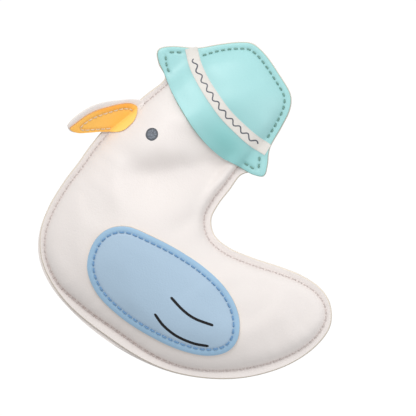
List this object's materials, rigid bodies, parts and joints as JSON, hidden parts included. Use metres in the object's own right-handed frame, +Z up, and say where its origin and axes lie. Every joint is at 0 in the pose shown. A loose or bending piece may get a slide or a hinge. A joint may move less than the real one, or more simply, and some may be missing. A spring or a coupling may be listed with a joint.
{
  "type": "gull-shaped weighted dive toy",
  "caption": "Flat-bodied gull-shaped soft toy with a sun hat, floppy bent beak, wing patches and a sewn flat rim; neck and beak flex.",
  "frame": {"origin": "under the middle of the belly, level with its lowest edge, on the plane where the two halves meet", "axes": "+Z up with the belly down, beak towards -X, front broad side towards -Y, rear broad side towards +Y"},
  "size_m": [0.1668, 0.0398, 0.168],
  "materials": {
    "white_sheet": "soft coated sheet, fine grain",
    "aqua_sheet": "soft coated sheet, smooth",
    "orange_sheet": "soft coated sheet, fine grain",
    "blue_sheet": "soft coated sheet, fine grain",
    "band_tape": "woven tape",
    "fibre": "loose fibre filling",
    "pouch_cloth": "plain weave cloth",
    "sand": "loose dry sand",
    "white_thread": "sewing thread",
    "blue_thread": "sewing thread",
    "green_thread": "sewing thread",
    "peach_thread": "sewing thread",
    "black_ink": "printed ink",
    "grey_ink": "printed ink"
  },
  "bodies": {
    "torso": {"torso_front_panel": "white_sheet", "torso_rear_panel": "white_sheet", "torso_filling_front": "fibre", "torso_filling_rear": "fibre", "pouch_front": "pouch_cloth", "pouch_rear": "pouch_cloth", "sand_fill": "sand", "pouch_stitching": "white_thread", "torso_edge_stitching": "white_thread", "wing_front": "blue_sheet", "wing_rear": "blue_sheet", "wing_front_stitching": "blue_thread", "wing_rear_stitching": "blue_thread", "wing_front_print": "black_ink", "wing_rear_print": "black_ink"},
    "head": {"head_front_panel": "white_sheet", "head_rear_panel": "white_sheet", "head_filling": "fibre", "eye_front": "grey_ink", "eye_rear": "grey_ink", "hat_front": "aqua_sheet", "hat_rear": "aqua_sheet", "hat_band_front": "band_tape", "hat_band_rear": "band_tape", "hat_edge_stitching": "green_thread", "head_edge_stitching": "white_thread", "beak_root_front": "orange_sheet", "beak_root_rear": "orange_sheet"},
    "beak": {"beak_front": "orange_sheet", "beak_rear": "orange_sheet", "beak_lining_front": "white_sheet", "beak_lining_rear": "white_sheet", "beak_stitching": "peach_thread"}
  },
  "joints": [
    {"name": "neck_flex", "type": "hinge", "parent": "torso", "child": "head", "pos_m": [-0.0324, 0, 0.0895], "axis": [0.9779, 0, 0.209], "range_deg": [-15, 15], "stiffness_Nm_per_rad": 0.05},
    {"name": "beak_flex", "type": "hinge", "parent": "head", "child": "beak", "pos_m": [-0.0619, 0, 0.1029], "axis": [0.365, 0, 0.931], "range_deg": [-87, 23], "stiffness_Nm_per_rad": 0.002}
  ]
}
